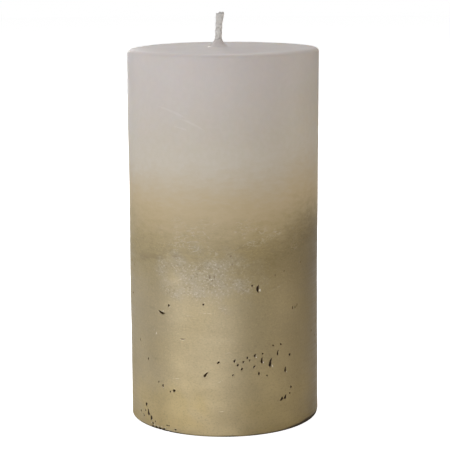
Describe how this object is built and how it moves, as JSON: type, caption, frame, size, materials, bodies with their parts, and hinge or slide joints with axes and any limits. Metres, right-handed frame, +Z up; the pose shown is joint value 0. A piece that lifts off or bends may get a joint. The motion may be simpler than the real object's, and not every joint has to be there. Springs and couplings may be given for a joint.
{
  "type": "unity candle",
  "caption": "Round pillar candle with a distressed gold lacquer coat on its lower part, an ivory wax top and a plaited cotton wick held by a sustainer in the base.",
  "frame": {"origin": "middle of the candle's base, on the surface it stands on", "axes": "+Z up along the pillar's axis; -Y is the side seen in the reference view; +X is to the right of that view"},
  "size_m": [0.07, 0.07, 0.1498],
  "materials": {
    "core_wax": "matte",
    "ivory_wax": "satin",
    "seal_wax": "satin",
    "gold_lacquer": "satin",
    "wick_cotton": "matte",
    "tinned_steel": "satin"
  },
  "bodies": {
    "root": {"wax_core": "core_wax", "overdip_shell": "ivory_wax", "gold_lacquer_coat": "gold_lacquer", "wick_strand_1": "wick_cotton", "wick_strand_2": "wick_cotton", "wick_strand_3": "wick_cotton", "wick_top_seal": "seal_wax", "wick_sustainer": "tinned_steel", "base_seal": "seal_wax"}
  },
  "joints": []
}
